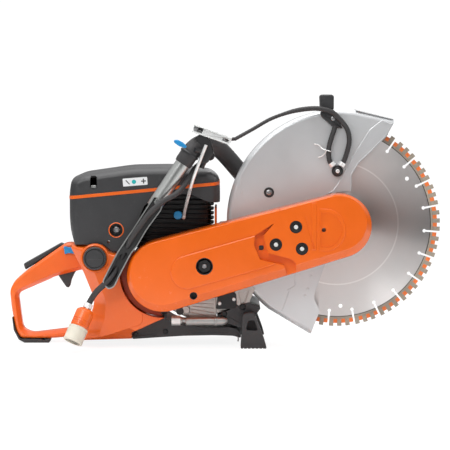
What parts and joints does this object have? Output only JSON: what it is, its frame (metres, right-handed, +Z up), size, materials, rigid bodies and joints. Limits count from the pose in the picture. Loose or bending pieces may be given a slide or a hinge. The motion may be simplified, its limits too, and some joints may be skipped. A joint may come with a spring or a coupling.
{
  "type": "concrete cut-off saw",
  "caption": "Petrol-driven concrete cut-off saw: belt-driven toothed disc in a turning guard, finned engine, loop rear handle, tube front handle, water feed hoses and rubber feet.",
  "frame": {"origin": "centre of the footprint on the floor the saw stands on", "axes": "+X forward to the cutting disc, -Y the operator's right, the belt side, +Z up"},
  "size_m": [0.7325, 0.2703, 0.426],
  "materials": {
    "orange_plastic": "glossy",
    "dark_plastic": "satin",
    "black_plastic": "satin",
    "blue_plastic": "satin",
    "beige_plastic": "satin",
    "rubber": "matte",
    "orange_paint": "glossy",
    "silver_paint": "satin",
    "cast_magnesium": "cast",
    "aluminium": "satin",
    "steel": "machined",
    "black_paint": "matte",
    "zinc": "bright zinc plate",
    "filter_paper": "matte"
  },
  "bodies": {
    "machine": {"guard_water_hose": "rubber", "rear_belt_cover": "orange_paint", "front_belt_cover": "orange_paint", "cutting_arm": "cast_magnesium", "drive_belt": "rubber", "belt_tensioner": "steel", "crankcase_right": "cast_magnesium", "crankcase_left": "cast_magnesium", "piston": "aluminium", "cylinder": "black_paint", "spark_plug_cap": "rubber", "muffler": "steel", "heat_shield": "orange_paint", "carburettor": "cast_magnesium", "air_filter": "filter_paper", "starter_cover": "orange_plastic", "fuel_tank_rear_handle": "orange_plastic", "rear_foot_pad": "rubber", "upper_engine_cover": "dark_plastic", "lower_engine_cover": "dark_plastic", "cover_trim_band": "orange_plastic", "front_handle_tube": "aluminium", "front_handle_grip": "rubber", "handle_channel": "dark_plastic", "handle_bracket": "zinc", "water_valve": "black_plastic", "water_feed_hose": "rubber", "stay_cable": "steel", "water_inlet_hose": "rubber", "inlet_hose_clamp": "steel", "coupling_body": "orange_plastic", "coupling_collar": "beige_plastic", "base_beam": "dark_plastic", "foot_bracket": "black_paint", "front_foot_near": "rubber", "front_foot_far": "rubber", "damper_cylinder": "aluminium"},
    "cutting_shaft": {"cutting_disc": "steel", "spindle": "steel", "inner_flange": "steel", "outer_flange": "steel", "arbor_nut": "steel", "spindle_pulley": "cast_magnesium"},
    "engine_shaft": {"crankshaft": "steel", "clutch_drum": "steel", "flywheel": "cast_magnesium"},
    "guard": {"disc_guard": "silver_paint", "guard_handle": "dark_plastic", "water_nozzle_near": "black_plastic", "water_nozzle_far": "black_plastic", "guard_branch_hose": "rubber"},
    "trigger": {"throttle_trigger": "dark_plastic"},
    "lockout": {"throttle_lockout": "dark_plastic"},
    "cap": {"fuel_cap": "dark_plastic"},
    "decompression": {"decompression_button": "blue_plastic"},
    "choke": {"choke_control": "blue_plastic"},
    "valve_lever": {"water_valve_lever": "blue_plastic"},
    "starter_grip": {"starter_handle": "dark_plastic"},
    "rope_pulley": {"starter_pulley": "dark_plastic"}
  },
  "joints": [
    {"name": "disc_spin", "type": "hinge", "parent": "machine", "child": "cutting_shaft", "pos_m": [0.19, 0, 0.206], "axis": [0, 1, 0], "continuous": true},
    {"name": "engine_spin", "type": "hinge", "parent": "machine", "child": "engine_shaft", "pos_m": [-0.086, 0, 0.123], "axis": [0, 1, 0], "continuous": true},
    {"name": "guard_turn", "type": "hinge", "parent": "machine", "child": "guard", "pos_m": [0.19, -0.03, 0.206], "axis": [0, 1, 0], "range_deg": [-30, 25], "deforming": ["guard_water_hose"]},
    {"name": "trigger_squeeze", "type": "hinge", "parent": "machine", "child": "trigger", "pos_m": [-0.256, 0, 0.133], "axis": [0, 1, 0], "range_deg": [0, 10], "stiffness_Nm_per_rad": 0.5, "springref_deg": -11.46},
    {"name": "lockout_press", "type": "hinge", "parent": "machine", "child": "lockout", "pos_m": [-0.279, 0, 0.1665], "axis": [0, 1, 0], "range_deg": [-4, 0], "stiffness_Nm_per_rad": 0.5, "springref_deg": 11.46},
    {"name": "fuel_cap_turn", "type": "hinge", "parent": "machine", "child": "cap", "pos_m": [-0.217, -0.085, 0.1515], "axis": [0, -1, 0], "range_deg": [0, 90]},
    {"name": "decompression_press", "type": "slide", "parent": "machine", "child": "decompression", "axis": [0, 1, 0], "range_m": [0, 0.003], "stiffness_N_per_m": 400, "springref_m": -0.003},
    {"name": "choke_pull", "type": "slide", "parent": "machine", "child": "choke", "axis": [0, -1, 0], "range_m": [0, 0.008]},
    {"name": "water_valve_turn", "type": "hinge", "parent": "machine", "child": "valve_lever", "pos_m": [-0.0695, -0.12, 0.3395], "axis": [0, 1, 0], "range_deg": [-90, 0]},
    {"name": "starter_pull", "type": "slide", "parent": "machine", "child": "starter_grip", "axis": [-0.2079, 0, 0.9781], "range_m": [0, 0.6], "stiffness_N_per_m": 15, "springref_m": -0.3},
    {"name": "rope_pulley_turn", "type": "hinge", "parent": "machine", "child": "rope_pulley", "pos_m": [-0.086, 0.088, 0.123], "axis": [0, 1, 0], "range_deg": [0, 1300]}
  ],
  "couplings": [
    {"joint": "engine_spin", "follows": "disc_spin", "ratio": 1.8333},
    {"joint": "rope_pulley_turn", "follows": "starter_pull", "rad_per_m": 35}
  ]
}
